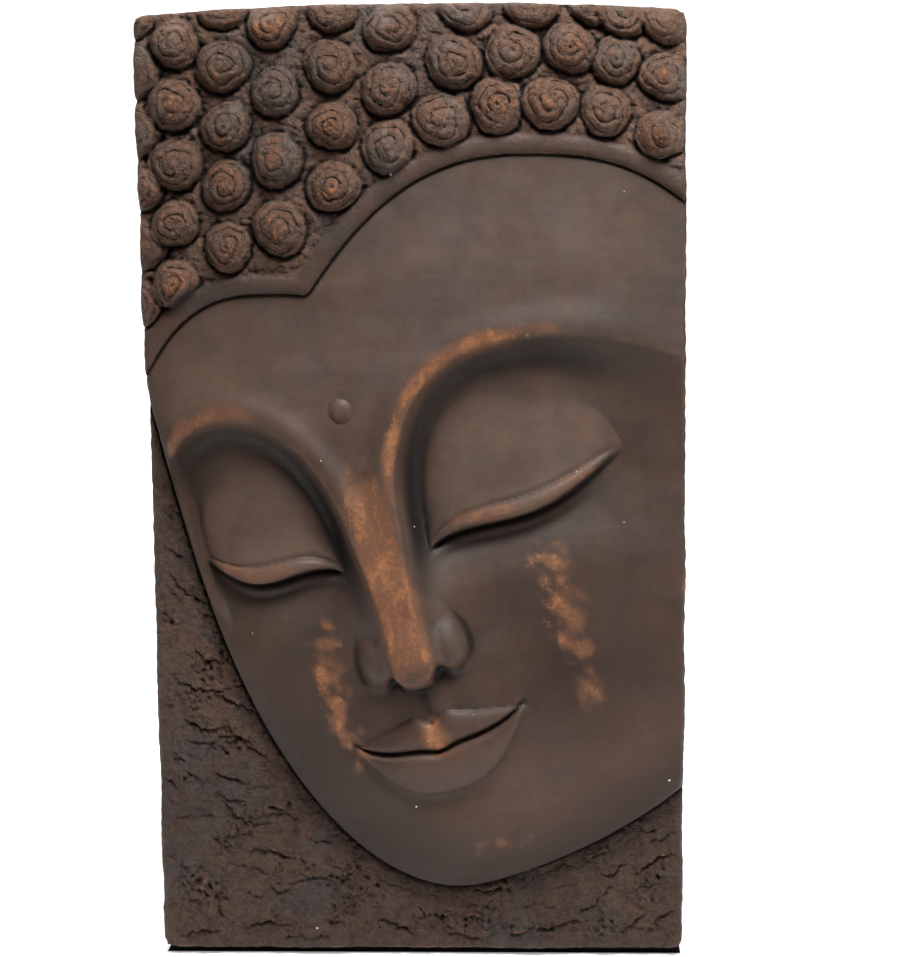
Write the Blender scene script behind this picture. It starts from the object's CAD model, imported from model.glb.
from math import cos, pi, radians, sin

import bmesh
import bpy
import numpy as np
from mathutils import Matrix, Vector


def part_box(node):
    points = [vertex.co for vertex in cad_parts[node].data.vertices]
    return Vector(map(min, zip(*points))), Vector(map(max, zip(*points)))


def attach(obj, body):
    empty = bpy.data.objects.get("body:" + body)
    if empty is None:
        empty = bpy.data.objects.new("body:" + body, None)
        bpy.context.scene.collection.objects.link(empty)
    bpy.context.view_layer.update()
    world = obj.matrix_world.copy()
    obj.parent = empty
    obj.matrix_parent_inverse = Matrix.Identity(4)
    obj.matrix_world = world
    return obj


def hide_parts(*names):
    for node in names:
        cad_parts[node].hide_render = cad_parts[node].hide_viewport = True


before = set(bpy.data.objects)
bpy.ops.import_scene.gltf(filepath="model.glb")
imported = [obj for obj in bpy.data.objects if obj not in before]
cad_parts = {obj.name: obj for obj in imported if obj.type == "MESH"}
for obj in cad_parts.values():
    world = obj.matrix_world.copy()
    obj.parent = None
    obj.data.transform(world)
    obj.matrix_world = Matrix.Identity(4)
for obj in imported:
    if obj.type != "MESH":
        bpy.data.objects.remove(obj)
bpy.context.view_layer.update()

# The slab, from the CAD node. Relief is worked out in millimetres from the slab's centre.
MM = 0.001
slab_low, slab_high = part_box("plaque")
WIDTH = (slab_high[0] - slab_low[0]) / MM
HEIGHT = (slab_high[2] - slab_low[2]) / MM
DEPTH = (slab_high[1] - slab_low[1]) / MM
MIDDLE_X = (slab_high[0] + slab_low[0]) / 2
MIDDLE_Z = (slab_high[2] + slab_low[2]) / 2
BACK_Y = slab_high[1]

# Head: its place, its lean and its turn
GROUND = 24
TOP_BOW = 7
CHIN_X, CHIN_Z = 54, -340
LEAN = radians(15.5)
TURN = radians(20)
FACE_LENGTH = 585
FACE_HALF_WIDTH = 240
FAR_SIDE, NEAR_SIDE = 157, 395
CHEEK_LEVEL = 350
CROWN_LENGTH = 1100
OUTLINE_STEP = 7
SKULL_RISE = 27
PART = FACE_LENGTH / 12

# Face: how far each form stands out of the skull, or sinks into it
RIDGE_RISE = 31
NOSE_TIP_RISE = 32
WING_RISE = 21
WING_GROOVE_DEPTH = 1.8
NOSE_FOOT_RISE = 16
NOSE_FLANK_RISE = 9
SOCKET_DEPTH = 26
BROW_ROLL = 5
LID_RISE = 22
LID_HEM_RISE = 2.4
LID_HEM_LINE_DEPTH = 1.8
EYE_SLIT_DEPTH = 8
LOWER_LID_RISE = 3
LOWER_LID_FOLD_DEPTH = 1.5
MUZZLE_RISE = 10
UPPER_LIP_RISE = 7.5
LOWER_LIP_RISE = 10
LIP_LINE_DEPTH = 4
LIP_CORNER_DEPTH = 3
UNDER_LIP_DEPTH = 2
NOSTRIL_DEPTH = 6
PHILTRUM_DEPTH = 3.4
CHIN_RISE = 8
CHIN_HOLLOW_DEPTH = 2
CHEEK_RISE = 6
BROW_MARK_RISE = 3.6

# Face: widths of forms, and how softly those of the nose run into each other
ARRIS_SLOPE = 10
BROW_SLOPE = 15
BROW_ROLL_WIDTH = 12
BROW_ROLL_SETBACK = 7
LID_HEM_WIDTH = 14
LOWER_LID_WIDTH = 3.6
LIP_LINE_WIDTH = 2.4
BROW_MARK_RADIUS = 9.5
NOSE_FOOT_BLEND = 7
WING_BLEND = 7
NOSE_TIP_BLEND = 11
ARRIS_REACH = 100
SLIT_PART = 45

# Face: places in parts, side from the middle and up from the chin
HALF_FACE_PARTS = 6
EYE_INNER, EYE_LENGTH, EYE_LEVEL = 0.98, 3.85, 6.02
EYE_CLIMB, EYE_WAVE, LID_HEIGHT = 0.80, 0.14, 2.2
BROW_MIDDLE, BROW_REACH = 3.15, 3.3
BROW_SPRING, BROW_ARCH, BROW_ROUNDNESS = 6.5, 2.65, 2.05
RIDGE_ROOT, RIDGE_TIP = 9.8, 4.4
RIDGE_HALF, RIDGE_ROOT_EXTRA, RIDGE_TIP_EXTRA = 0.36, 0.20, 0.05
NOSE_BASE, NOSTRIL_SIDE = 3.96, 0.52
MOUTH_HALF, LIP_LINE, SMILE = 1.95, 2.66, 0.34
UPPER_LIP_EDGE, LOWER_LIP_EDGE = 3.27, 1.90
BROW_MARK_LEVEL = 8.75

# Nose: its rounded forms as side, up, half width, and reach above and below
NOSE_FOOT = (0, 4.44, 1.25, 1.10, 0.48)
WING = (0.78, 4.38, 0.46, 0.56, 0.42)
NOSE_TIP = (0, 4.50, 0.76, 0.74, 0.74)

# Hair: arches of hairline as crown x, crown z, reach, drop and power
HAIRLINE = ((-118, 168, 124, 105, 2.8), (102, 280, 188, 115, 2.55))
BAND_WIDTH = 17
BAND_RISE = 5.5
HAIR_OVER_SKULL = 3
CURL_RADIUS = 21.5
CURL_RISE = 17
CURL_REACH = 34
CURL_TURNS = 2.8
COIL_RISE = 3.8
NUB_RISE = 2.2
CURL_EDGE_SHARE = 0.5
CURL_EDGE_WIDTH = 22
FIRST_COLUMN = -238.7
COLUMN_PITCH = 44.2
# Columns of curls from the left: lowest curl's height over the hairline, each curl's step aside and step up
COLUMNS = (
    (62, 0, 48),
    (37, 1, 49),
    (42, 0, 49),
    (55, -1, 54),
    (56, 0, 48),
    (42, 1, 47),
    (39, 10, 46),
    (41, 14, 41),
    (42, 16, 42),
    (42, 8, 40),
    (40, 2, 48),
)

# Ground of torn clay: tears on a loose grid, and the marks left on it
TEAR_COLUMNS, TEAR_ROWS = 15, 25
TEAR_PITCH_X, TEAR_PITCH_Z = 31, 20.5
TEAR_SHORTEST, TEAR_SPREAD = 7, 23
HATCHED_X, HATCHED_Z = -168, -126
SCRATCH_X = 77
SCRATCH_LOW, SCRATCH_HIGH = -391, -374
FOOT_LINE = 19

# Worn edges of the slab
WORN_EDGE = 4
WORN_DEPTH = 3
EDGE_PULL_REACH = 26

# Studio: the floor's front edge is near, so that little light comes up from it
FLOOR_GAP = 0.006
FLOOR_FRONT = -0.5
FLOOR_GLOW = 0.25
WALL_GLOW = 0.6
SWEEP_JOIN = 1.5
STUDIO_WHITE = 0.92

# Mesh: widest cell, and how far a cell may be from the true surface before it is split
CELL = 7.2
SPLIT_TOLERANCES = (0.05, 0.12, 0.16)
SPLIT_BUDGETS = (6000, 13000, 6900)

# Colours, linear
SKIN_DARK = (0.045, 0.031, 0.0255)
SKIN_BROWN = (0.064, 0.044, 0.036)
SKIN_PALE = (0.085, 0.058, 0.047)
COOL_TINT = (0.95, 1.0, 1.0)
WARM_TINT = (1.18, 0.95, 0.77)
HALO = (0.132, 0.060, 0.033)
COPPER_DULL = (0.140, 0.060, 0.030)
COPPER = (0.28, 0.118, 0.050)
HOLLOW_BLACK = (0.009, 0.006, 0.005)
DUST = (0.55, 0.50, 0.44)

# Copper streaks on the cheeks and the chin: how bare, from where to where, and how wide
STREAKS = (
    (1.05, (-78, -118), (-70, -172), 14),
    (1.05, (-66, -180), (-50, -224), 11),
    (0.85, (108, -52), (124, -100), 15),
    (0.85, (128, -104), (148, -170), 11),
    (0.55, (50, -303), (86, -298), 9),
)

# Keyhole pockets in the back
KEYHOLE_SPACING = 200
HEAD_POCKET_WIDTH = 14
SHANK_SLOT_WIDTH = 7
SLOT_RISE = 16
LIP_THICKNESS = 3.5
POCKET_DEPTH = 12
POCKET_CLEARANCE = 0.4
SIDE_TONE = 0.8


def clamp01(t):
    return np.clip(t, 0, 1)


def bell(x):
    return np.exp(-x * x)


def cap(r, power=2.0):
    return np.sqrt(clamp01(1 - np.abs(r) ** power))


def ramp(start, end, x):
    """Goes smoothly from 0 at one value to 1 at the other."""
    t = clamp01((x - start) / (end - start))
    return t * t * (3 - 2 * t)


def soft_max(a, b, blend):
    t = clamp01(0.5 + (a - b) / (2 * blend))
    return b + (a - b) * t + blend * t * (1 - t)


def chance(i, j, seed):
    """A fixed number from 0 to 1 for each pair of whole numbers."""
    return np.modf(np.abs(np.sin(i * 127.1 + j * 311.7 + seed * 74.7) * 43758.5453))[0]


def noise(x, z, size, seed):
    """Smooth lumps about a size in millimetres apart, from about -1 to 1."""
    x = x / size + 500
    z = z / size + 500
    i, j = np.floor(x), np.floor(z)
    u, v = x - i, z - j

    def corner(di, dj):
        angle = 2 * pi * chance(i + di, j + dj, seed)
        return np.cos(angle) * (u - di) + np.sin(angle) * (v - dj)

    su = u * u * u * (u * (u * 6 - 15) + 10)
    sv = v * v * v * (v * (v * 6 - 15) + 10)
    low = corner(0, 0) * (1 - su) + corner(1, 0) * su
    high = corner(0, 1) * (1 - su) + corner(1, 1) * su
    return 1.5 * (low * (1 - sv) + high * sv)


def rough(x, z, size, seed, layers=3):
    """Lumps on lumps, each layer half the size and just over half the height of the last."""
    return sum(0.55**k * noise(x, z, size / 2**k, seed + 10 * k) for k in range(layers))


def above_hairline(x, z):
    """Millimetres above the hairline; negative on the face."""
    over = []
    for crown_x, crown_z, reach, drop, power in HAIRLINE:
        t = np.maximum(np.abs(x - crown_x), 0.01) / reach
        slope = drop * power / reach * t ** (power - 1)
        over.append((z - (crown_z - drop * t**power)) / np.hypot(1, slope))
    return -soft_max(-over[0], -over[1], 5)


def hairline_at(x):
    return max(cz - drop * (abs(x - cx) / reach) ** power for cx, cz, reach, drop, power in HAIRLINE)


def to_head(x, z):
    """The head's own directions: along the line of the eyes, and up from the chin."""
    dx, dz = x - CHIN_X, z - CHIN_Z
    return dx * cos(LEAN) + dz * sin(LEAN), dz * cos(LEAN) - dx * sin(LEAN)


def inside_head(across, up):
    """1 in the middle of the head, 0 on its outline, negative on the ground."""
    taper = clamp01((CHEEK_LEVEL - up) / CHEEK_LEVEL)
    egg = np.sqrt(1 - taper**2.25)
    half = (NEAR_SIDE + FAR_SIDE) / 2
    side = (across - (NEAR_SIDE - FAR_SIDE) / 2 * egg) / half
    crown = clamp01((up - CHEEK_LEVEL) / CROWN_LENGTH)
    return egg**2 - side**2 - crown**2 + np.minimum(up, 0) / 200


def to_front(across):
    """A place across the half-turned head, in parts of a face seen from the front."""
    sine = np.clip(across / FACE_HALF_WIDTH - sin(TURN), -0.999, 0.999)
    return HALF_FACE_PARTS * np.sin(np.arcsin(sine) + TURN)


def behind_arris(side, up):
    """Millimetres behind the arris that runs over the eye as the brow and down the nose."""
    ridge = RIDGE_HALF + RIDGE_ROOT_EXTRA * ramp(5.2, 6.9, up) + RIDGE_TIP_EXTRA * ramp(4.9, 4.1, up)
    half = np.where(side < BROW_MIDDLE, BROW_MIDDLE - ridge, BROW_REACH)
    side_share = np.abs(side - BROW_MIDDLE) / half
    up_share = np.maximum(up - BROW_SPRING, 0) / BROW_ARCH
    out = side_share**BROW_ROUNDNESS + up_share**BROW_ROUNDNESS
    return (1 - out ** (1 / BROW_ROUNDNESS)) * ARRIS_REACH


def ridge_and_socket(side, up):
    """The nose's ridge and the brow, and the socket that falls away behind them."""
    front = RIDGE_RISE * ramp(RIDGE_ROOT, RIDGE_TIP, up) ** 1.1
    socket = SOCKET_DEPTH * ramp(5.0, 6.9, up) * (1 - 0.75 * ramp(3.8, 6.0, side))
    slope = ARRIS_SLOPE + (BROW_SLOPE - ARRIS_SLOPE) * ramp(5.6, 7.8, up)
    behind = behind_arris(side, up)
    sunk = 1 - np.exp(-((np.maximum(behind, 0) / slope) ** 1.15))
    roll = BROW_ROLL * bell((behind + BROW_ROLL_SETBACK) / BROW_ROLL_WIDTH)
    roll = roll * ramp(6.0, 7.6, up) * (1 - 0.6 * ramp(4.2, 6.0, side))
    flank = NOSE_FLANK_RISE * bell(side / 1.25) * ramp(7.6, 5.0, up) * ramp(3.6, 4.6, up)
    return (front + roll) * (1 - sunk) + (flank - socket) * sunk


def eye_places(side, up):
    """How far along the eye a place is, how full the lid is there, and how far over the slit it is."""
    t = clamp01((side - EYE_INNER) / EYE_LENGTH)
    slit = EYE_LEVEL + EYE_CLIMB * t**1.8 + EYE_WAVE * np.sin(2 * pi * t**0.8)
    lid = LID_HEIGHT * (4 * t * (1 - t)) ** 0.55 * (1.1 - 0.2 * t)
    share = np.maximum(up - slit, 0) / np.maximum(lid, 0.05)
    return t, share, (up - slit) * SLIT_PART


def eye(side, up):
    """A lowered lid with a hem over its slit, and the lower lid below."""
    t, share, over = eye_places(side, up)
    body = clamp01(np.sin(pi * t))
    hem = LID_HEM_WIDTH * np.sqrt(body)
    ends = ramp(0, 0.07, t) * ramp(1, 0.93, t)
    lid = LID_RISE * clamp01(1 - share**2.2) ** 0.8 * clamp01(1 - np.abs(2 * t - 1) ** 3) ** 0.8
    lid = lid * ramp(-1, 1, over)
    hem_band = LID_HEM_RISE * ramp(0, 1.5, over) * ramp(hem + 1.2, hem - 1.2, over) * body**0.6
    hem_line = -LID_HEM_LINE_DEPTH * bell((over - hem - 1.2) / 1.5) * ends
    slit_cut = -EYE_SLIT_DEPTH * bell(over / (0.8 + 2.4 * body**0.6)) * ends
    lower = LOWER_LID_RISE * bell((over + 6) / LOWER_LID_WIDTH)
    lower = lower - LOWER_LID_FOLD_DEPTH * bell((over + 13) / 4.5)
    return np.where((t > 0) & (t < 1), lid + hem_band + hem_line + slit_cut + lower * body**0.6, 0)


def round_share(form, side, up):
    """How far a place is from the middle of a rounded form: 1 on the form's edge."""
    form_side, form_up, half_width, above, below = form
    return np.hypot((side - form_side) / half_width, (up - form_up) / np.where(up > form_up, above, below))


def nose_end(h, side, up):
    """Adds the nose's foot, wings and tip, cut off below with two nostrils."""
    wing = round_share(WING, side, up)
    for form, rise, roundness, blend in (
        (NOSE_FOOT, NOSE_FOOT_RISE, 1.8, NOSE_FOOT_BLEND),
        (WING, WING_RISE, 1.9, WING_BLEND),
        (NOSE_TIP, NOSE_TIP_RISE, 2.0, NOSE_TIP_BLEND),
    ):
        r = round_share(form, side, up)
        h = soft_max(h, rise * (cap(r, roundness) - 2 * np.clip(r - 1, 0, 0.5)), blend)
    h = h - WING_GROOVE_DEPTH * bell((wing - 1.14) / 0.12) * ramp(0.95, 1.15, side) * ramp(3.95, 4.3, up)
    base = NOSE_BASE - 0.10 * bell(side / 0.4) + 0.15 * bell((side - NOSTRIL_SIDE) / 0.16)
    kept = ramp(base - 0.16, base + 0.16, up)
    h = h * kept + np.minimum(h, 0) * (1 - kept)
    return h - NOSTRIL_DEPTH * bell(np.hypot((side - NOSTRIL_SIDE) / 0.22, (up - base + 0.02) / 0.09))


def mouth(side, up):
    """Two lips on a low muzzle, with the groove that runs up from them to the nose."""
    share = side / MOUTH_HALF
    line = LIP_LINE + 0.09 * (1 - bell(side / 0.34)) + SMILE * share**3.0
    bow = 0.07 * bell((side - 0.42) / 0.3) - 0.12 * bell(side / 0.20)
    upper_edge = UPPER_LIP_EDGE + bow - 0.24 * share**1.8
    lower_edge = LOWER_LIP_EDGE + 1.10 * share**2.5
    taper = cap(share, 2.4)
    in_upper = (up - line) / np.maximum(upper_edge - line, 0.02)
    in_lower = (line - up) / np.maximum(line - lower_edge, 0.02)
    h = MUZZLE_RISE * np.exp(-(((side / 2.4) ** 2 + ((up - 2.75) / 1.35) ** 2) ** 1.5))
    upper_roll = np.sqrt(clamp01(4 * in_upper * (1 - in_upper))) * (1.1 - 0.35 * in_upper)
    lower_roll = np.sqrt(clamp01(4 * in_lower * (1 - in_lower))) * (1 - 0.2 * in_lower)
    h = h + np.where(in_upper > 0, UPPER_LIP_RISE * upper_roll, LOWER_LIP_RISE * lower_roll) * taper
    h = h - LIP_LINE_DEPTH * bell((up - line) * PART / LIP_LINE_WIDTH) * ramp(2.08, 1.85, side)
    h = h - LIP_CORNER_DEPTH * bell(np.hypot((side - 2.02) / 0.16, (up - 3.10) / 0.16))
    h = h - UNDER_LIP_DEPTH * bell((up - lower_edge + 0.14) / 0.16) * taper
    philtrum = ramp(3.15, 3.4, up) * ramp(4, 3.8, up)
    return h - PHILTRUM_DEPTH * (bell(side / 0.18) - 0.45 * bell((side - 0.38) / 0.17)) * philtrum


def chin_and_cheek(side, up):
    chin = CHIN_RISE * np.exp(-(((side / 1.5) ** 2 + ((up - 1.1) / 0.68) ** 2) ** 1.2))
    hollow = -CHIN_HOLLOW_DEPTH * bell(np.hypot(side / 1.3, (up - 1.62) / 0.3))
    return chin + hollow + CHEEK_RISE * bell(np.hypot((side - 3.3) / 1.7, (up - 3.9) / 1.6))


def brow_mark(side, up):
    """The small round mark between the brows."""
    beside = side * FACE_HALF_WIDTH / HALF_FACE_PARTS
    r = np.hypot(beside, (up - BROW_MARK_LEVEL) * PART) / BROW_MARK_RADIUS
    return BROW_MARK_RISE * cap(r) - 0.5 * bell((r - 1.05) / 0.12)


def face_relief(across, up):
    """All of the face over the plain skull."""
    side = np.abs(to_front(across))
    parts = up / PART
    h = nose_end(ridge_and_socket(side, parts) + eye(side, parts), side, parts)
    return h + mouth(side, parts) + chin_and_cheek(side, parts) + brow_mark(side, parts)


def curl_places():
    """Each snail curl: centre x and z, radius, rise, way of the coil and a number to vary it by."""
    places = []
    for column, (start, lean, pitch) in enumerate(COLUMNS):
        x = max(FIRST_COLUMN + column * COLUMN_PITCH, -WIDTH / 2)
        z = hairline_at(x) + start
        while z < HEIGHT / 2 + 12:
            k = len(places)
            vary = [chance(k, n, 5) * 2 - 1 for n in range(5)]
            radius, rise = CURL_RADIUS + 1.6 * vary[2], CURL_RISE + 2.0 * vary[3]
            way = 1 if vary[4] > -0.4 else -1
            places.append((x + 1.5 * vary[0], z + 1.2 * vary[1], radius, rise, way, k))
            x += lean
            z += pitch
    return places


def curl_polar(x, z, place):
    """Where a point is on a curl: share of the radius, angle, and turns of the coil."""
    cx, cz, radius, _, way, k = place
    theta = np.arctan2(z - cz, x - cx)
    wobble = 1 + 0.05 * np.sin(2 * theta + k) + 0.03 * np.sin(3 * theta + 2.3 * k)
    r = np.hypot(x - cx, z - cz) / (radius * (wobble + 0.05 * noise(x, z, 8, k)))
    start = 0.32 * noise(x, z, 13, 40 + k) + chance(k, 1, 9)
    return r, theta, r * CURL_TURNS + way * theta / (2 * pi) + start


def near_curl(x, z, place):
    """Which points are close enough to a curl to be touched by it."""
    return (np.abs(x - place[0]) < CURL_REACH) & (np.abs(z - place[1]) < CURL_REACH)


def curl_relief(x, z, place):
    """One pat of clay coiled by hand: how high it stands, and how far out from its centre a point is."""
    radius, rise, k = place[2], place[3], place[5]
    r, theta, turns = curl_polar(x, z, place)
    rope = cap(2 * (turns - np.floor(turns)) - 1, 2.2)
    smear = 0.35 + 0.65 * ramp(-0.5, 0.1, noise(x, z, 15, 70 + k))
    dome = rise * clamp01(1 - r**2.0) ** 0.66
    coil = COIL_RISE * (rope - 0.7) * ramp(1.0, 0.9, r) * ramp(0.12, 0.3, r) * smear
    nub = NUB_RISE * bell(r / 0.20) - 3.2 * bell(r / 0.08) * (chance(k, 3, 9) > 0.62)
    around = noise(theta * 4 + 40 * k, r * radius, 3.2, 20 + k)
    folds = -1.5 * bell(around / 0.14) * ramp(-0.2, 0.2, noise(x, z, 14, 90 + k))
    lumps = 0.8 * rough(x, z, 6.5, 20 + k, 3)
    return np.where(r < 1, dome + coil + nub + (folds + lumps) * ramp(1.02, 0.85, r), 0), r


def coil_waves(x, z):
    """1 in the furrows between the turns of each coil, -1 on the turns and off the curls."""
    waves = np.full_like(x, -1.0)
    for place in curl_places():
        near = near_curl(x, z, place)
        r, _, turns = curl_polar(x[near], z[near], place)
        share = ramp(1.0, 0.92, r) * ramp(0.1, 0.25, r)
        waves[near] = np.where(r < 1, (np.cos(2 * pi * turns) + 1) * share - 1, waves[near])
    return waves


def hair_relief(x, z, above):
    """The smooth band along the hairline, then rough clay with the curls on it."""
    half = BAND_WIDTH / 2
    folds = -1.5 * bell(noise(x, z * 1.5, 15, 7) / 0.09)
    bed = 2.6 + 1.5 * rough(x, z, 19, 3) + 0.6 * rough(x, z * 1.5, 7, 4, 3) + folds
    band = BAND_RISE * cap((above - half) / half, 2.6) - 2.5 + 0.4 * noise(x, z, 16, 6)
    clear = ramp(BAND_WIDTH - 4, BAND_WIDTH + 1, above)
    h = band * (1 - clear) + (bed - 1.0 - 2.2 * bell((above - BAND_WIDTH - 1) / 2.6)) * clear
    from_edge = np.minimum(WIDTH / 2 - np.abs(x), HEIGHT / 2 - z)
    kept = CURL_EDGE_SHARE + (1 - CURL_EDGE_SHARE) * ramp(0, CURL_EDGE_WIDTH, from_edge)
    for place in curl_places():
        near = near_curl(x, z, place)
        top, r = curl_relief(x[near], z[near], place)
        top = top * kept[near]
        dx, dz = x[near] - place[0], z[near] - place[1]
        under = 0.5 - 0.5 * dz / np.maximum(np.hypot(dx, dz), 1)
        ring = -(0.6 + 3.4 * under) * bell((r - 1.06) / 0.09)
        ring = ring + 1.6 * bell((r - 1.27) / 0.15) * noise(x[near], z[near], 12, 8)
        below = h[near] + ring * clear[near]
        raised = top * clear[near] + (1 - clear[near]) * below
        h[near] = np.where((r < 1) & (clear[near] > 0), np.maximum(below, raised), below)
    return HAIR_OVER_SKULL + h


def tears():
    """Tears in the rough ground: centre, slant, half length, bow and the height of the lifted lip."""
    strokes = []
    for j in range(TEAR_ROWS):
        for i in range(TEAR_COLUMNS):
            n = [chance(i, j, 50 + k) for k in range(7)]
            x = (i - TEAR_COLUMNS // 2 + 0.9 * (n[0] - 0.5)) * TEAR_PITCH_X
            z = -HEIGHT / 2 + (j + 0.5 + 0.9 * (n[1] - 0.5)) * TEAR_PITCH_Z
            middle = -34 + 26 * float(ramp(-60, -330, z))
            slant = radians((middle if x < 70 else 24) + 34 * (n[2] - 0.5))
            half = TEAR_SHORTEST + TEAR_SPREAD * n[4] ** 1.6
            bow, lip = 0.6 * (n[5] - 0.5), 0.7 + 2.6 * n[6] ** 1.5
            across, up = to_head(np.array([x]), np.array([z]))
            if n[3] < 0.85 and inside_head(across, up)[0] < 0.03:
                strokes.append((x, z, slant, half, bow, lip))
    return strokes


def torn(x, z):
    """Lifted lips of clay, each with a dark gap below it."""
    h = np.zeros_like(x)
    for cx, cz, slant, half, bow, lip in tears():
        near = (np.abs(x - cx) < half + 16) & (np.abs(z - cz) < half + 16)
        dx, dz = x[near] - cx, z[near] - cz
        along = dx * cos(slant) + dz * sin(slant)
        over = dz * cos(slant) - dx * sin(slant)
        over = over - bow * along**2 / half - 2.6 * noise(along + cx, 0 * along + cz, 8, 51)
        over = over - 1.1 * noise(x[near], z[near], 4, 52)
        taper = cap(along / half, 2.0)
        lifted = lip * np.exp(-np.maximum(over, 0) / 9) * ramp(-0.4, 0.6, over)
        gap = -(0.6 + 0.6 * lip) * bell((over + 0.7) / (0.6 + 0.12 * lip))
        h[near] += (lifted + gap) * taper
    return h


def nicks(x, z):
    """Short fine cracks that run the way of the tears."""
    slant = radians(-20)
    along = (x * cos(slant) + z * sin(slant)) * 0.3
    over = z * cos(slant) - x * sin(slant)
    where = ramp(0.0, 0.35, noise(x, z, 17, 26))
    return -0.9 * bell(noise(along, over, 3.6, 27) / 0.13) * where


def ground_relief(x, z):
    """Torn clay: slanting tears, crumbly patches, and smoother clay near the slab's edge."""
    patch = ramp(0.0, 0.4, noise(x, z, 40, 14) + 0.25 * noise(x, z, 13, 24))
    crumbs = (0.55 - np.abs(rough(x, z, 9, 15, 4))) * 3.4 * patch
    pits = -1.9 * ramp(0.30, 0.60, noise(x, z, 5.0, 25)) * (0.25 + 0.75 * patch)
    swell = 2.1 * noise(x, z, 58, 16) + 1.7 * rough(x, z, 21, 17, 4) + 0.6 * rough(x, z, 5, 28, 2)
    rim = np.minimum(WIDTH / 2 - np.abs(x), z + HEIGHT / 2)
    worn = 0.25 + 0.75 * ramp(4, 18, rim + 7 * noise(x, z, 33, 18))
    foot = -0.9 * bell((z + HEIGHT / 2 - FOOT_LINE - 2.5 * noise(x, z, 50, 19)) / 1.3) * ramp(-120, 60, x)
    scratch = -2.2 * bell((x - SCRATCH_X - noise(x, z, 8, 9)) / 0.9)
    scratch = scratch * ramp(SCRATCH_LOW, SCRATCH_LOW + 3, z) * ramp(SCRATCH_HIGH, SCRATCH_HIGH - 4, z)
    hatched_x, hatched_z = x - HATCHED_X, z - HATCHED_Z
    hatched = (np.abs(hatched_x) < 7) & (np.abs(hatched_z) < 6)
    hatch = np.where(hatched, -1.2 + 0.7 * np.cos(hatched_x * 2.1) * np.cos(hatched_z * 2.1), 0)
    h = swell + (torn(x, z) + nicks(x, z) + crumbs + pits) * worn + foot + scratch + hatch
    return GROUND - 2.4 + h


def thickness(x, z):
    """How far the front stands from the flat back."""
    across, up = to_head(x, z)
    inside = inside_head(across, up)
    skull = GROUND + OUTLINE_STEP + SKULL_RISE * clamp01(inside) ** 0.62
    above = above_hairline(x, z)
    modelled = 0.45 * noise(x, z, 62, 21) + 0.16 * noise(x, z, 19, 22)
    skin = skull + face_relief(across, up) * ramp(0, 0.1, inside) + modelled
    skin = skin - 2.2 * bell(np.minimum(above, 0) / 1.8)
    shown = ramp(0, 0.012, inside)
    crease = 3.4 * bell((inside + 0.004) / 0.010)
    front = ground_relief(x, z) * (1 - shown) + skin * shown - crease
    hair = skull + hair_relief(x, z, above)
    h = np.where(above > 0, hair, front)
    rim = np.minimum(WIDTH / 2 - np.abs(x), HEIGHT / 2 - np.abs(z))
    return np.minimum(h - WORN_DEPTH * clamp01(1 - rim / WORN_EDGE) ** 2, DEPTH)


# Masks for the patina, each kept on the mesh's points

def height_field():
    """The relief on an even grid of 1 mm, for measuring hollows and ridges."""
    xs = np.arange(-WIDTH / 2, WIDTH / 2 + 0.5)
    zs = np.arange(-HEIGHT / 2, HEIGHT / 2 + 0.5)
    x, z = np.meshgrid(xs, zs)
    return thickness(x.ravel(), z.ravel()).reshape(x.shape)


def blurred(field, reach):
    """A field softened over a reach in millimetres."""
    pad = int(3 * reach)
    padded = np.pad(field, pad, mode="edge")
    rows = np.fft.fftfreq(padded.shape[0])[:, None]
    columns = np.fft.rfftfreq(padded.shape[1])[None, :]
    soft = np.exp(-2 * (pi * reach) ** 2 * (rows**2 + columns**2))
    out = np.fft.irfft2(np.fft.rfft2(padded) * soft, s=padded.shape)
    return out[pad:-pad, pad:-pad]


def read_field(field, x, z):
    """The value of a 1 mm field at each point."""
    u = np.clip(x + WIDTH / 2, 0, field.shape[1] - 1.001)
    v = np.clip(z + HEIGHT / 2, 0, field.shape[0] - 1.001)
    i, j = u.astype(int), v.astype(int)
    fu, fv = u - i, v - j
    low = field[j, i] * (1 - fu) + field[j, i + 1] * fu
    high = field[j + 1, i] * (1 - fu) + field[j + 1, i + 1] * fu
    return low * (1 - fv) + high * fv


def near_nub(x, z):
    """1 at the middle of each curl, fading outwards."""
    share = np.zeros_like(x)
    for cx, cz, radius, *_ in curl_places():
        share = np.maximum(share, bell(np.hypot(x - cx, z - cz) / (0.5 * radius)))
    return share


def streak(x, z, start, end, width):
    """1 along a line from start to end, fading to 0 over a width."""
    ax, az = start
    dx, dz = end[0] - ax, end[1] - az
    t = clamp01(((x - ax) * dx + (z - az) * dz) / (dx * dx + dz * dz))
    return bell(np.hypot(x - ax - t * dx, z - az - t * dz) / width)


def rubbed_places(x, z):
    """Where hands and packing have rubbed the patina off the smooth skin."""
    x = x + 7 * noise(x, z, 34, 61)
    broken = 0.35 + 0.65 * ramp(-0.25, 0.20, noise(x, z, 12, 65))
    rubs = [bare * streak(x, z, start, end, width) for bare, start, end, width in STREAKS]
    return np.maximum.reduce(rubs) * broken


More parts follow.
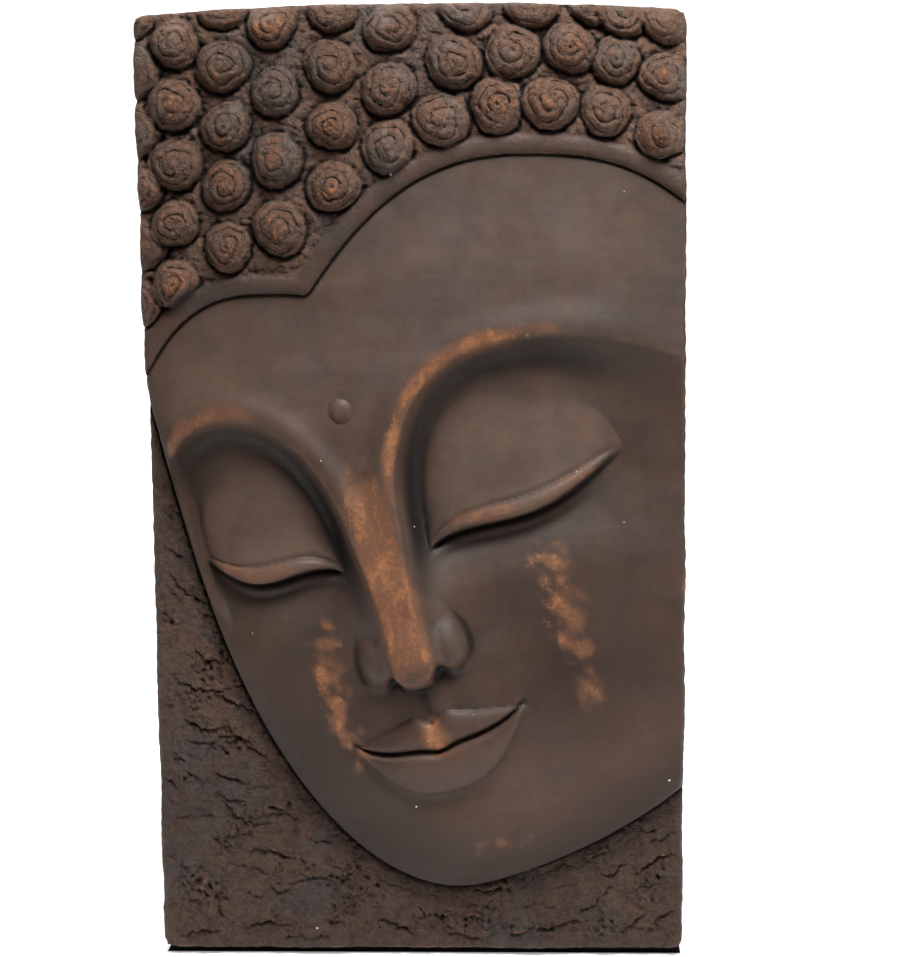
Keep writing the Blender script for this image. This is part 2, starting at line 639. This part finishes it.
class Surface:
    """Where each point is on the slab and on the face, and how far it stands out or lies in."""

    def __init__(self, x, z):
        self.x, self.z = x, z
        self.above = above_hairline(x, z)
        self.across, up = to_head(x, z)
        self.inside = inside_head(self.across, up)
        self.hair = ramp(-1, 2, self.above)
        self.skin = ramp(0.0, 0.01, self.inside) * (1 - self.hair)
        self.ground = 1 - np.maximum(self.hair, self.skin)
        self.band = self.hair * ramp(BAND_WIDTH + 2, BAND_WIDTH - 3, self.above)
        self.side = np.abs(to_front(self.across))
        self.parts = up / PART
        self.behind = behind_arris(self.side, self.parts)
        self.along_eye, share, self.over_slit = eye_places(self.side, self.parts)
        lid_ends = ramp(0, 0.15, self.along_eye) * ramp(1, 0.85, self.along_eye)
        self.full_lid = ramp(1.0, 0.75, share) * ramp(0, 4, self.over_slit) * lid_ends
        self.edge = ramp(0.42, 0.04, self.inside) * ramp(10.0, 8.4, self.parts)
        self.between_brows = bell(self.across / 60) * bell((self.parts - 8.1) / 0.9)
        cheek = ramp(7.2, 6.2, self.parts) * ramp(1.5, 3.0, self.parts) * (1 - self.full_lid)
        self.far_cheek = ramp(-20, -60, self.across) * cheek
        field = height_field()
        self.fine = read_field(field - blurred(field, 2.5), x, z)
        self.wide = read_field(field - blurred(field, 9), x, z)
        self.broad = read_field(field - blurred(field, 30), x, z)
        weight = 0.08 * self.skin + 0.12 * self.hair + 0.04 * self.ground
        self.ridge = clamp01(0.42 * self.fine + weight * self.wide - 0.2)


def hollow_mask(s):
    """1 where the patina has stayed near black: in cuts, under the brows and along the face's rim."""
    weight = 0.06 * s.skin + 0.035 * s.hair + 0.05 * s.ground
    hollow = -0.30 * s.fine - weight * s.wide - 0.025 * s.skin * s.broad + 0.05 * s.band
    under_brow = bell((s.behind - 13) / 12) * ramp(4.4, 5.6, s.parts) * ramp(5.6, 4.6, s.side)
    under_brow = under_brow * (1 - s.full_lid) * s.skin
    rim = bell((s.inside + 0.002) / 0.011) * (1 - s.hair)
    return clamp01(hollow + 0.30 * under_brow + 0.40 * rim)


def rubbed_face(s):
    """Copper on the brows, the nose, the lids' hems, the lip, the cheeks and the chin."""
    patchy = ramp(-0.35, 0.3, noise(s.x, s.z, 42, 62))
    crest = bell((s.behind + 3.5) / 6) * ramp(6.0, 7.2, s.parts) * (0.55 + 0.45 * patchy)
    near_crest = ramp(4.8, 3.2, s.side) * (0.35 + 0.65 * ramp(7.0, 7.8, s.parts))
    far_crest = 0.25 + 0.75 * ramp(1.7, 2.6, s.side) * ramp(5.4, 4.6, s.side)
    brow = crest * np.where(s.across > 0, near_crest, far_crest)
    nose = 0.7 * ramp(0.62, 0.34, s.side) * ramp(4.0, 4.5, s.parts) * ramp(8.6, 6.4, s.parts)
    lip = 0.7 * bell(s.side / 0.3) * ramp(2.5, 2.7, s.parts) * ramp(3.4, 3.1, s.parts)
    on_eye = (s.along_eye > 0) * (s.along_eye < 1)
    hem = 0.5 * ramp(0, 3, s.over_slit) * ramp(17, 11, s.over_slit) * on_eye * (0.4 + 0.6 * patchy)
    ridges = 0.35 * s.ridge * ramp(0.1, 0.35, s.inside)
    return np.maximum.reduce([0.8 * rubbed_places(s.x, s.z), brow, nose, lip, hem, ridges])


def rub_mask(s):
    """1 where the copper shows: on the face, the curls, the ground's lips and parts of the slab's edge."""
    face = rubbed_face(s) * s.skin * ramp(0.01, 0.05, s.inside)
    curls = s.ridge * ramp(BAND_WIDTH, BAND_WIDTH + 5, s.above) * ramp(-0.45, 0.35, noise(s.x, s.z, 50, 63))
    clay = curls * s.hair * (0.5 + 0.5 * near_nub(s.x, s.z)) + 0.5 * s.ridge * s.ground
    rim = np.minimum(WIDTH / 2 - np.abs(s.x), HEIGHT / 2 - np.abs(s.z))
    edge = 0.45 * ramp(4, 1, rim) * ramp(-0.1, 0.5, noise(s.x, s.z, 30, 64))
    return clamp01(np.maximum.reduce([face, clay, edge]))


def tone_mask(s):
    """How light the patina is: lids and forehead light, cheeks, the face's rim and the hairline dark."""
    not_lid = 1 - s.full_lid
    near_cheek = ramp(20, 120, s.across) * ramp(8.4, 7.0, s.parts) * ramp(1.5, 3.0, s.parts) * not_lid
    near_cheek = near_cheek * (1 - 0.6 * ramp(200, 330, s.across))
    beside_nose = bell((s.across - 110) / 60) * ramp(7.0, 6.0, s.parts) * ramp(2.5, 3.5, s.parts) * not_lid
    face = 1 + 0.20 * ramp(8.2, 9.6, s.parts) + 0.20 * s.full_lid - 0.14 * ramp(5.0, 3.0, s.parts)
    face = face - 0.52 * s.edge * (1 - 0.6 * s.full_lid) - 0.26 * s.between_brows
    face = face - 0.34 * s.far_cheek * (1 - s.edge) - 0.14 * beside_nose - 0.24 * ramp(-60, -4, s.above)
    face = face - 0.28 * near_cheek - 0.24 * bell((s.parts - 9.0) / 0.8) * ramp(2, 3, s.side)
    ground = 0.73 + 0.19 * ramp(-300, -150, s.z) * ramp(0, -80, s.x)
    curls = 1.54 + 0.24 * ramp(-140, 60, s.x)
    return face * s.skin + ground * s.ground + curls * (s.hair - s.band) + 0.76 * s.band


def warm_mask(s):
    """How brown the skin is, against grey: most at the jaw and the rim, least on the forehead."""
    warm = 0.9 * ramp(5.5, 2.5, s.parts) + 0.9 * s.edge
    warm = warm + 0.4 * s.between_brows + 0.2 * ramp(0, -60, s.across)
    warm = warm - 0.4 * s.far_cheek * (1 - s.edge)
    return (warm - 0.7 * ramp(8.2, 9.4, s.parts) * ramp(-60, 120, s.across)) * s.skin


def patina_masks(x, z):
    surface = Surface(x, z)
    return {
        "hollow": hollow_mask(surface),
        "rub": rub_mask(surface),
        "skin": np.maximum(surface.skin, 0.8 * surface.band),
        "hair": surface.hair - surface.band,
        "tone": tone_mask(surface),
        "warm": warm_mask(surface),
        "coil": coil_waves(x, z),
    }


# The mesh

def plaque_front():
    """An even grid over the slab, split where the relief bends, with each point moved out to the relief."""
    bm = bmesh.new()
    columns, rows = round(WIDTH / CELL), round(HEIGHT / CELL)
    bmesh.ops.create_grid(bm, x_segments=columns, y_segments=rows, size=0.5)
    bmesh.ops.scale(bm, vec=(WIDTH, HEIGHT, 1), verts=bm.verts)

    def heights(points):
        p = np.array(points)
        return thickness(p[:, 0], p[:, 1])

    for tolerance, budget in zip(SPLIT_TOLERANCES, SPLIT_BUDGETS):
        faces = [f for f in bm.faces if len(f.verts) == 4]
        at = {v: k for k, v in enumerate(bm.verts)}
        corner_heights = heights([v.co[:2] for v in bm.verts])
        middles = heights([f.calc_center_median()[:2] for f in faces])
        edge_mid = [(f.verts[0].co + f.verts[1].co) / 2 for f in faces]
        other_mid = [(f.verts[1].co + f.verts[2].co) / 2 for f in faces]
        corners = np.array([[corner_heights[at[v]] for v in f.verts] for f in faces])
        bend = np.abs(middles - corners.mean(axis=1))
        bend = np.maximum(bend, np.abs(heights([p[:2] for p in edge_mid]) - corners[:, :2].mean(axis=1)))
        bend = np.maximum(bend, np.abs(heights([p[:2] for p in other_mid]) - corners[:, 1:3].mean(axis=1)))
        worst = np.argsort(-bend)[:budget]
        chosen = {e for k in worst if bend[k] > tolerance for e in faces[k].edges}
        bmesh.ops.subdivide_edges(bm, edges=list(chosen), cuts=1, use_grid_fill=True)
    bmesh.ops.triangulate(bm, faces=[f for f in bm.faces if len(f.verts) > 3])
    return bm


def uneven_edge(x, z):
    """Draws the outline in a little, most at the corners, as a hand-filled mould leaves it."""
    in_x, in_z = WIDTH / 2 - np.abs(x), HEIGHT / 2 - np.abs(z)
    worn = 2.2 * bell((in_x + in_z) / 7)
    pull_x = 0.7 + 0.8 * noise(x, z, 48, 31) + 0.6 * noise(x, z, 9, 32)
    pull_z = 0.5 + 0.7 * noise(x, z, 55, 33) + 0.45 * noise(x, z, 10, 34)
    moved_x = x - np.sign(x) * ramp(EDGE_PULL_REACH, 0, in_x) * (np.maximum(pull_x, 0) + worn)
    moved_z = z - np.sign(z) * ramp(EDGE_PULL_REACH, 0, in_z) * (np.maximum(pull_z, 0) + worn)
    return moved_x, moved_z - TOP_BOW * (2 * x / WIDTH) ** 2 * (z / HEIGHT + 0.5) ** 3


def keyhole_outline(width_low, width_high, middle_x, steps=10):
    """Points round a keyhole or a plain slot: a lower round end and an upper one, the bearing at z = 0."""
    points = []
    for k in range(steps + 1):
        angle = pi + pi * k / steps
        points.append((middle_x + width_low / 2 * cos(angle), -SLOT_RISE + width_low / 2 * sin(angle)))
    for k in range(steps + 1):
        angle = pi * k / steps
        points.append((middle_x + width_high / 2 * cos(angle), width_high / 2 * sin(angle)))
    return points


def loop_of(bm, points, depth):
    """A closed ring of edges at a depth behind the back, through points in millimetres."""
    verts = [bm.verts.new((x * MM, BACK_Y - depth * MM, z * MM)) for x, z in points]
    return [bm.edges.new((verts[k - 1], verts[k])) for k in range(len(verts))]


def carried_on(bm, edges):
    """Extrudes a ring of edges and returns the new ring's vertices and edges."""
    made = bmesh.ops.extrude_edge_only(bm, edges=edges)["geom"]
    verts = {g for g in made if isinstance(g, bmesh.types.BMVert)}
    return verts, [g for g in made if isinstance(g, bmesh.types.BMEdge) and verts.issuperset(g.verts)]


def extruded(bm, edges, depth):
    """Carries a ring of edges on into the slab and returns its new end."""
    verts, ring = carried_on(bm, edges)
    for v in verts:
        v.co.y = BACK_Y - depth * MM
    return ring


def back_with_keyholes(bm, outer_edges):
    """Fills the flat back round two keyhole pockets."""
    lips = []
    for side in (-1, 1):
        middle = side * KEYHOLE_SPACING / 2
        lip = loop_of(bm, keyhole_outline(HEAD_POCKET_WIDTH, SHANK_SLOT_WIDTH, middle), 0)
        lips += lip
        lip_end = extruded(bm, lip, LIP_THICKNESS)
        pocket_outline = keyhole_outline(HEAD_POCKET_WIDTH + POCKET_CLEARANCE, HEAD_POCKET_WIDTH, middle)
        pocket = loop_of(bm, pocket_outline, LIP_THICKNESS)
        bmesh.ops.triangle_fill(bm, edges=lip_end + pocket, use_beauty=True)
        pocket_end = extruded(bm, pocket, POCKET_DEPTH)
        bmesh.ops.triangle_fill(bm, edges=pocket_end, use_beauty=True)
    bmesh.ops.triangle_fill(bm, edges=outer_edges + lips, use_beauty=True)


def sides(bm, layers):
    """Carries the front's rim to the back in three steps, with plainer patina; returns the last ring."""
    ring = [e for e in bm.edges if e.is_boundary]
    for kept in (0.7, 0.5, 0.0):
        verts, ring = carried_on(bm, ring)
        for v in verts:
            v.co.y = BACK_Y + (v.co.y - BACK_Y) * kept
            v[layers["skin"]] = 0
            v[layers["rub"]] *= 0.3
            v[layers["hollow"]] *= 0.3
            plain_patina(v, layers)
    return ring


def plain_patina(v, layers):
    v[layers["coil"]] = -1
    v[layers["tone"]] = SIDE_TONE


def near_back(place):
    """Whether a place is on the back or in one of its pockets."""
    return place.y > BACK_Y - (POCKET_DEPTH + 0.5) * MM


def is_flat(polygon):
    """Whether a face is on the back or in a keyhole pocket, and so keeps its hard edges."""
    middle = polygon.center
    level_with_keyholes = abs(middle.z) < 0.05 and abs(middle.x) < (KEYHOLE_SPACING / 2 + 20) * MM
    return polygon.normal.y > 0.9 or (near_back(middle) and level_with_keyholes)


def plaque_piece():
    bm = plaque_front()
    points = np.array([v.co[:2] for v in bm.verts])
    h = thickness(points[:, 0], points[:, 1])
    masks = patina_masks(points[:, 0], points[:, 1])
    layers = {name: bm.verts.layers.float.new(name) for name in masks}
    x, z = uneven_edge(points[:, 0], points[:, 1])
    for k, v in enumerate(bm.verts):
        v.co = Vector((MIDDLE_X + x[k] * MM, BACK_Y - h[k] * MM, MIDDLE_Z + z[k] * MM))
        for name, layer in layers.items():
            v[layer] = float(masks[name][k])
    back_with_keyholes(bm, sides(bm, layers))
    for v in bm.verts:
        if near_back(v.co):
            plain_patina(v, layers)
    bmesh.ops.recalc_face_normals(bm, faces=bm.faces)
    mesh = bpy.data.meshes.new("plaque_relief")
    bm.to_mesh(mesh)
    bm.free()
    piece = bpy.data.objects.new("plaque_relief", mesh)
    bpy.context.scene.collection.objects.link(piece)
    for polygon in mesh.polygons:
        polygon.use_smooth = not is_flat(polygon)
    return piece


# Materials

class Tree:
    """The node tree of a new material, with a short way to add each kind of node."""

    def __init__(self, name):
        self.material = bpy.data.materials.new(name)
        self.material.use_nodes = True
        self.nodes = self.material.node_tree.nodes
        self.links = self.material.node_tree.links
        self.shader = self.nodes["Principled BSDF"]

    def feed(self, socket, value):
        """Sets a socket to a number or a colour, or links another socket to it."""
        if isinstance(value, tuple):
            socket.default_value = (*value, 1)
        elif isinstance(value, (int, float)):
            socket.default_value = value
        else:
            self.links.new(value, socket)

    def attribute(self, name):
        node = self.nodes.new("ShaderNodeAttribute")
        node.attribute_name = name
        return node.outputs["Fac"]

    def maths(self, operation, *values):
        node = self.nodes.new("ShaderNodeMath")
        node.operation = operation
        for socket, value in zip(node.inputs, values):
            self.feed(socket, value)
        return node.outputs[0]

    def product(self, a, b):
        return self.maths("MULTIPLY", a, b)

    def sum_of(self, *shares):
        """Adds up values, each times its share."""
        total = 0.0
        for value, share in shares:
            total = self.maths("MULTIPLY_ADD", value, share, total)
        return total

    def tinted(self, colour, tint):
        node = self.nodes.new("ShaderNodeVectorMath")
        node.operation = "MULTIPLY"
        self.feed(node.inputs[0], colour)
        self.feed(node.inputs[1], tint)
        return node.outputs[0]

    def scaled(self, colour, share):
        node = self.nodes.new("ShaderNodeVectorMath")
        node.operation = "SCALE"
        self.feed(node.inputs[0], colour)
        self.feed(node.inputs["Scale"], share)
        return node.outputs[0]

    def mixed(self, share, a, b):
        node = self.nodes.new("ShaderNodeMix")
        node.data_type = "RGBA"
        colours = [socket for socket in node.inputs if socket.type == "RGBA"]
        for socket, value in zip((node.inputs["Factor"], *colours), (share, a, b)):
            self.feed(socket, value)
        return next(socket for socket in node.outputs if socket.type == "RGBA")

    def colour_ramp(self, value, low, low_colour, high, high_colour, middle_colour=None):
        """Two colours at a low and a high value, and a third halfway between them where it is given."""
        node = self.nodes.new("ShaderNodeValToRGB")
        elements = node.color_ramp.elements
        stops = [(low, low_colour), (high, high_colour)]
        if middle_colour:
            elements.new(0.5)
            stops.insert(1, ((low + high) / 2, middle_colour))
        for element, (position, colour) in zip(elements, stops):
            element.position = position
            element.color = (*colour, 1)
        self.feed(node.inputs["Fac"], value)
        return node.outputs["Color"]

    def remapped(self, value, low, high):
        """Spreads the part of a value between low and high over 0 to 1."""
        node = self.nodes.new("ShaderNodeMapRange")
        node.interpolation_type = "SMOOTHSTEP"
        node.inputs["From Min"].default_value = low
        node.inputs["From Max"].default_value = high
        self.feed(node.inputs["Value"], value)
        return node.outputs["Result"]

    def noise(self, coordinates, scale, detail=4, roughness=0.6, distortion=0.0):
        node = self.nodes.new("ShaderNodeTexNoise")
        node.inputs["Scale"].default_value = scale
        node.inputs["Detail"].default_value = detail
        node.inputs["Roughness"].default_value = roughness
        node.inputs["Distortion"].default_value = distortion
        self.feed(node.inputs["Vector"], coordinates)
        return node.outputs["Fac"]

    def stretched(self, coordinates, scale, slant=14):
        """Coordinates drawn out one way, at a slant in the slab's plane, for marks that run along it."""
        node = self.nodes.new("ShaderNodeMapping")
        node.inputs["Rotation"].default_value = (0, radians(slant), 0)
        node.inputs["Scale"].default_value = scale
        self.feed(node.inputs["Vector"], coordinates)
        return node.outputs["Vector"]

    def creases(self, value, width):
        """Narrow lines along which a value passes through one half: 1 on them, 0 away from them."""
        off = self.maths("ABSOLUTE", self.maths("SUBTRACT", value, 0.5))
        return self.maths("SUBTRACT", 1.0, self.remapped(off, 0.0, width))

    def specks(self, coordinates):
        """1 on a few grains of dust, up to a millimetre across."""
        node = self.nodes.new("ShaderNodeTexVoronoi")
        node.inputs["Scale"].default_value = 80
        self.feed(node.inputs["Vector"], coordinates)
        parts = self.nodes.new("ShaderNodeSeparateColor")
        self.feed(parts.inputs["Color"], node.outputs["Color"])
        reach = self.product(self.maths("POWER", parts.outputs[1], 4.0), 0.10)
        near = self.maths("LESS_THAN", node.outputs["Distance"], reach)
        return self.product(near, self.maths("GREATER_THAN", parts.outputs[0], 0.70))


class PatinaNoises:
    """The patterns that the patina is worked out from, coarse to fine."""

    def __init__(self, tree, here):
        self.cloud = tree.noise(here, 9, 4, 0.55)
        self.tint = tree.noise(here, 26, 4, 0.6, 0.3)
        self.smudge = tree.noise(here, 34, 6, 0.66, 0.4)
        self.drawn = tree.noise(tree.stretched(here, (1, 1, 0.35)), 60, 6, 0.62, 0.6)
        self.brushed = tree.noise(tree.stretched(here, (0.3, 1, 1.6), 6), 40, 5, 0.6, 0.4)
        self.crumpled = tree.noise(here, 70, 4, 0.62, 0.8)
        self.grain = tree.noise(here, 190, 5, 0.7)
        self.fleck = tree.noise(here, 620, 3, 0.7)


def brown_patina(tree, noises, skin, rough_clay):
    """The patina where nothing has rubbed it, in browns that are warmer here and cooler there."""
    tone = tree.sum_of((noises.cloud, 0.35), (noises.smudge, 0.2), (noises.drawn, 0.15),
                       (noises.brushed, 0.18), (noises.grain, 0.12))
    base = tree.colour_ramp(tone, 0.37, SKIN_DARK, 0.63, SKIN_PALE, SKIN_BROWN)
    variation = tree.maths("MULTIPLY_ADD", skin, -0.65, 1.0)
    warmth = tree.maths("MULTIPLY_ADD", rough_clay, 0.07, 0.5)
    warmth = tree.maths("MULTIPLY_ADD", tree.attribute("warm"), 0.07, warmth)
    warmth = tree.maths("MULTIPLY_ADD", tree.maths("SUBTRACT", noises.tint, 0.5), variation, warmth)
    tint = tree.colour_ramp(warmth, 0.42, COOL_TINT, 0.59, WARM_TINT)
    return tree.scaled(tree.tinted(base, tint), tree.attribute("tone"))


def rubbed_to_copper(tree, noises, patina_colour):
    """A warm halo where the patina is thin, and flecks of copper where it is gone."""
    rub = tree.attribute("rub")
    halo = tree.remapped(tree.sum_of((rub, 0.6), (noises.smudge, 0.9)), 0.48, 0.86)
    halo = tree.product(halo, tree.remapped(rub, 0.02, 0.25))
    warm = tree.mixed(tree.product(halo, 0.9), patina_colour, HALO)
    wear = tree.sum_of((noises.drawn, 0.45), (noises.grain, 0.35), (noises.fleck, 0.3), (rub, 0.3))
    bare = tree.product(tree.remapped(wear, 0.68, 0.84), tree.remapped(rub, 0.05, 0.35))
    shine = tree.sum_of((noises.grain, 0.5), (noises.drawn, 0.5))
    return tree.mixed(bare, warm, tree.colour_ramp(shine, 0.38, COPPER_DULL, 0.64, COPPER))


def clay_cracks(tree, noises, rough_clay):
    """Folds and pits in the rough clay, and furrows between the turns of the curls."""
    coil = tree.attribute("coil")
    fold = tree.product(tree.creases(noises.crumpled, 0.04), rough_clay)
    furrow = tree.remapped(coil, 0.70, 1.0)
    between = tree.creases(tree.maths("MULTIPLY_ADD", coil, 0.5, 0.5), 0.12)
    on_curls = tree.product(tree.attribute("hair"), tree.remapped(noises.smudge, 0.45, 0.60))
    pits = tree.product(tree.remapped(noises.grain, 0.50, 0.36), rough_clay)
    return tree.sum_of((fold, 0.4), (furrow, 0.6), (tree.product(between, on_curls), 0.4), (pits, 0.2))


def patina():
    """Dark brown patina, near black in hollows, rubbed to copper on what stands out, and dusty."""
    tree = Tree("rubbed_patina")
    here = tree.nodes.new("ShaderNodeTexCoord").outputs["Object"]
    noises = PatinaNoises(tree, here)
    skin = tree.attribute("skin")
    rough_clay = tree.maths("SUBTRACT", 1.0, skin)
    cracks = clay_cracks(tree, noises, rough_clay)
    coloured = rubbed_to_copper(tree, noises, brown_patina(tree, noises, skin, rough_clay))
    shut_in = tree.sum_of((tree.remapped(tree.attribute("hollow"), 0.04, 0.95), 1.0), (cracks, 0.6))
    dark = tree.mixed(shut_in, coloured, HOLLOW_BLACK)
    tree.feed(tree.shader.inputs["Base Color"], tree.mixed(tree.specks(here), dark, DUST))
    gloss = tree.colour_ramp(noises.smudge, 0.35, (0.44, 0.44, 0.44), 0.65, (0.60, 0.60, 0.60))
    tree.feed(tree.shader.inputs["Roughness"], gloss)
    tree.shader.inputs["Specular IOR Level"].default_value = 0.24

    bump = tree.nodes.new("ShaderNodeBump")
    bump.inputs["Strength"].default_value = 0.8
    bump.inputs["Distance"].default_value = 0.003
    clay = tree.product(tree.sum_of((noises.grain, 1.5), (noises.fleck, 0.4), (cracks, -0.8)), rough_clay)
    tree.feed(bump.inputs["Height"], tree.sum_of((clay, 1.0), (noises.grain, 0.09)))
    tree.feed(tree.shader.inputs["Normal"], bump.outputs["Normal"])
    return tree.material


# Studio

def studio_material(name, white, glow):
    tree = Tree(name)
    shader = tree.shader
    shader.inputs["Base Color"].default_value = (white, white, white, 1)
    shader.inputs["Roughness"].default_value = 0.9
    shader.inputs["Specular IOR Level"].default_value = 0
    shader.inputs["Emission Color"].default_value = (1, 1, 1, 1)
    shader.inputs["Emission Strength"].default_value = glow
    return tree.material


def studio():
    """A white floor that sweeps up behind the plaque into a white wall."""
    bm = bmesh.new()
    floor_z = slab_low[2] - FLOOR_GAP
    place = Matrix.Translation((0, 3 + FLOOR_FRONT, floor_z))
    bmesh.ops.create_grid(bm, x_segments=1, y_segments=1, size=3, matrix=place)
    everything = bm.verts[:] + bm.edges[:] + bm.faces[:]
    bmesh.ops.bisect_plane(bm, geom=everything, plane_co=(0, SWEEP_JOIN, 0), plane_no=(0, 1, 0))
    far = [e for e in bm.edges if all(v.co.y > 2 for v in e.verts)]
    made = bmesh.ops.extrude_edge_only(bm, edges=far)["geom"]
    for v in (g for g in made if isinstance(g, bmesh.types.BMVert)):
        v.co.z += 6
    corner = [e for e in bm.edges if all(v.co.y > 2 and v.co.z < floor_z + 1 for v in e.verts)]
    bmesh.ops.bevel(bm, geom=corner, offset=1.2, offset_type="OFFSET", segments=12, profile=0.5,
                    affect="EDGES", material=-1)
    mesh = bpy.data.meshes.new("studio_sweep")
    bm.to_mesh(mesh)
    bm.free()
    sweep = bpy.data.objects.new("studio_sweep", mesh)
    bpy.context.scene.collection.objects.link(sweep)
    for polygon in mesh.polygons:
        polygon.use_smooth = True
    mesh.materials.append(studio_material("studio_floor", STUDIO_WHITE, FLOOR_GLOW))
    mesh.materials.append(studio_material("studio_wall", STUDIO_WHITE, WALL_GLOW))
    for polygon in mesh.polygons:
        polygon.material_index = 1 if polygon.center.y > SWEEP_JOIN else 0


def shade_under_slab():
    """The dark strip of floor that the slab stands over."""
    bm = bmesh.new()
    width, depth = slab_high[0] - slab_low[0] - 0.004, 0.019
    middle = ((slab_low[0] + slab_high[0]) / 2, -0.0035, slab_low[2] - FLOOR_GAP + 0.0003)
    place = Matrix.Translation(middle) @ Matrix.Diagonal((width, depth, 1, 1))
    bmesh.ops.create_grid(bm, x_segments=1, y_segments=1, size=0.5, matrix=place)
    mesh = bpy.data.meshes.new("studio_shade")
    bm.to_mesh(mesh)
    bm.free()
    shade = bpy.data.objects.new("studio_shade", mesh)
    bpy.context.scene.collection.objects.link(shade)
    mesh.materials.append(studio_material("studio_shade", 0.01, 0))


def softbox(name, place, target, size, power, colour):
    light = bpy.data.lights.new(name, "AREA")
    light.shape = "RECTANGLE"
    light.size, light.size_y = size
    light.energy = power
    light.color = colour
    lamp = bpy.data.objects.new(name, light)
    lamp.location = place
    lamp.rotation_euler = (Vector(target) - Vector(place)).to_track_quat("-Z", "Y").to_euler()
    bpy.context.scene.collection.objects.link(lamp)


def camera():
    data = bpy.data.cameras.new("camera")
    data.sensor_fit = "HORIZONTAL"
    data.sensor_width = 36
    data.lens = 2490.3 / 900 * 36
    data.clip_end = 50
    eye_point = bpy.data.objects.new("camera", data)
    forward = Vector((-0.04391, 0.98879, -0.1427)).normalized()
    right = Vector((0.99903, 0.04282, -0.01066))
    right = (right - forward * right.dot(forward)).normalized()
    up = right.cross(forward)
    turn = Matrix((right, up, -forward)).transposed()
    eye_point.matrix_world = Matrix.Translation((0.1198, -2.0836, 0.0569)) @ turn.to_4x4()
    bpy.context.scene.collection.objects.link(eye_point)
    bpy.context.scene.camera = eye_point


def light_studio():
    middle = (0, 0, -0.25)
    softbox("top_light", (0.35, -0.95, 1.35), middle, (1.2, 0.7), 70, (0.98, 0.99, 1.0))
    softbox("right_light", (2.6, -1.8, 0.6), middle, (1.2, 2.0), 20, (1.0, 0.93, 0.86))
    softbox("back_light", (-0.8, 1.2, 2.2), (0, 0.6, -0.6), (1.5, 1.5), 60, (1.0, 1.0, 1.0))
    world = bpy.data.worlds.new("studio_air")
    bpy.context.scene.world = world
    world.use_nodes = True
    world.node_tree.nodes["Background"].inputs["Color"].default_value = (1, 0.92, 0.84, 1)
    world.node_tree.nodes["Background"].inputs["Strength"].default_value = 0.2
    bpy.context.scene.view_settings.view_transform = "Standard"


plaque = plaque_piece()
plaque.data.materials.append(patina())
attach(plaque, "root")
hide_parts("plaque")

studio()
shade_under_slab()
light_studio()
camera()
